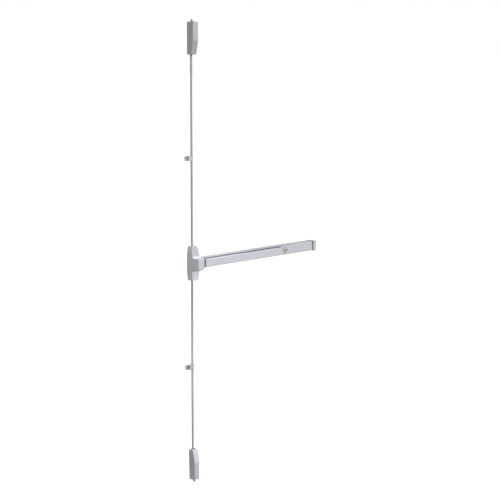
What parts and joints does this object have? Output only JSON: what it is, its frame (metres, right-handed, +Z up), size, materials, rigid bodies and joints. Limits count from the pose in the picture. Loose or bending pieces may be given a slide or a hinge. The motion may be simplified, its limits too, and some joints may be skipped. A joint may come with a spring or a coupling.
{
  "type": "vertical rod exit device",
  "caption": "Surface vertical rod exit device: a push bar with a centre case, key cylinder, rods to a top and a bottom latch, rod guides and the linkage that draws both bolts.",
  "frame": {"origin": "on the face of the door, on the axis of the rods and the centre line of the push bar", "axes": "+X along the push bar from the centre case to the end cap, +Y into the door, +Z up along the rods"},
  "size_m": [0.8515, 0.073, 2.135],
  "materials": {
    "case_metal": "satin silver paint",
    "bar_metal": "satin, drawn along the bar",
    "touchbar_metal": "satin, drawn along the bar",
    "rod_metal": "satin, drawn tube",
    "plated_steel": "zinc plated",
    "pin_steel": "ground",
    "dark_steel": "blackened",
    "bolt_steel": "machined",
    "spring_steel": "drawn wire",
    "screw_metal": "yellow zinc",
    "sleeve_plastic": "black nylon",
    "cylinder_metal": "bright",
    "plug_metal": "turned"
  },
  "bodies": {
    "root": {"bar_housing": "bar_metal", "front_crank_bracket": "plated_steel", "rear_crank_bracket": "plated_steel", "crank_pivot_pins": "pin_steel", "base_screws": "screw_metal", "cover_plate": "bar_metal", "end_cap": "case_metal", "end_bracket": "plated_steel", "end_cap_screws": "screw_metal", "centre_base_plate": "plated_steel", "centre_cover": "case_metal", "centre_cover_screws": "screw_metal", "rocker_stud": "pin_steel", "upper_return_spring": "spring_steel", "lower_return_spring": "spring_steel", "top_latch_plate": "plated_steel", "top_latch_cover": "case_metal", "top_latch_screws": "screw_metal", "bottom_latch_plate": "plated_steel", "bottom_latch_cover": "case_metal", "bottom_latch_screws": "screw_metal", "upper_rod_guide": "plated_steel", "lower_rod_guide": "plated_steel", "upper_guide_sleeve": "sleeve_plastic", "lower_guide_sleeve": "sleeve_plastic", "guide_screws": "screw_metal", "cylinder_body": "cylinder_metal", "cylinder_nut": "cylinder_metal"},
    "touchbar": {"touchbar": "touchbar_metal", "touchbar_left_cap": "touchbar_metal", "touchbar_right_cap": "touchbar_metal", "front_lug": "plated_steel", "rear_lug": "plated_steel", "lug_pins": "pin_steel"},
    "front_crank": {"front_crank": "plated_steel", "front_crank_pin": "pin_steel"},
    "rear_crank": {"rear_crank": "plated_steel", "rear_crank_pin": "pin_steel"},
    "actuator": {"actuator_strip": "plated_steel"},
    "rocker": {"rocker": "plated_steel", "rocker_pins": "pin_steel"},
    "upper_rod": {"upper_slide": "plated_steel", "upper_rod": "rod_metal", "upper_rod_nut": "pin_steel", "upper_rod_stud": "dark_steel", "top_bolt_carrier": "plated_steel", "top_bolt_spring": "spring_steel"},
    "lower_rod": {"lower_slide": "plated_steel", "lower_rod": "rod_metal", "lower_rod_nut": "pin_steel", "lower_rod_stud": "dark_steel", "bottom_bolt_carrier": "plated_steel", "bottom_bolt_spring": "spring_steel"},
    "top_bolt": {"top_bolt": "bolt_steel"},
    "bottom_bolt": {"bottom_bolt": "bolt_steel"},
    "key_plug": {"key_plug": "plug_metal", "key_cam": "plug_metal"}
  },
  "joints": [
    {"name": "touchbar_press", "type": "slide", "parent": "root", "child": "touchbar", "axis": [0, 1, 0], "range_m": [0, 0.013], "stiffness_N_per_m": 400, "springref_m": -0.04},
    {"name": "front_crank_turn", "type": "hinge", "parent": "root", "child": "front_crank", "pos_m": [0.115, -0.014, 0], "axis": [0, 0, -1], "range_deg": [0, 28.96]},
    {"name": "rear_crank_turn", "type": "hinge", "parent": "root", "child": "rear_crank", "pos_m": [0.465, -0.014, 0], "axis": [0, 0, -1], "range_deg": [0, 28.96]},
    {"name": "actuator_slide", "type": "slide", "parent": "root", "child": "actuator", "axis": [-1, 0, 0], "range_m": [0, 0.00801]},
    {"name": "rocker_turn", "type": "hinge", "parent": "root", "child": "rocker", "pos_m": [0, -0.0215, 0], "axis": [0, -1, 0], "range_deg": [0, 51.37]},
    {"name": "upper_rod_slide", "type": "slide", "parent": "root", "child": "upper_rod", "axis": [0, 0, -1], "range_m": [0, 0.013], "stiffness_N_per_m": 800, "springref_m": -0.03, "deforming": ["upper_return_spring"]},
    {"name": "lower_rod_slide", "type": "slide", "parent": "root", "child": "lower_rod", "axis": [0, 0, 1], "range_m": [0, 0.013], "stiffness_N_per_m": 800, "springref_m": -0.03, "deforming": ["lower_return_spring"]},
    {"name": "top_bolt_push", "type": "slide", "parent": "upper_rod", "child": "top_bolt", "axis": [0, 0, -1], "range_m": [0, 0.0125], "stiffness_N_per_m": 600, "springref_m": -0.012, "deforming": ["top_bolt_spring"]},
    {"name": "bottom_bolt_push", "type": "slide", "parent": "lower_rod", "child": "bottom_bolt", "axis": [0, 0, 1], "range_m": [0, 0.0125], "stiffness_N_per_m": 600, "springref_m": -0.012, "deforming": ["bottom_bolt_spring"]},
    {"name": "key_turn", "type": "hinge", "parent": "root", "child": "key_plug", "pos_m": [0.591, -0.03, 0], "axis": [0, 1, 0], "range_deg": [0, 90]}
  ],
  "couplings": [
    {"joint": "front_crank_turn", "follows": "touchbar_press", "rad_per_m": 38.874},
    {"joint": "rear_crank_turn", "follows": "touchbar_press", "rad_per_m": 38.874},
    {"joint": "actuator_slide", "follows": "touchbar_press", "ratio": 0.61538},
    {"joint": "rocker_turn", "follows": "touchbar_press", "rad_per_m": 68.952},
    {"joint": "upper_rod_slide", "follows": "touchbar_press", "ratio": 1},
    {"joint": "lower_rod_slide", "follows": "touchbar_press", "ratio": 1}
  ]
}
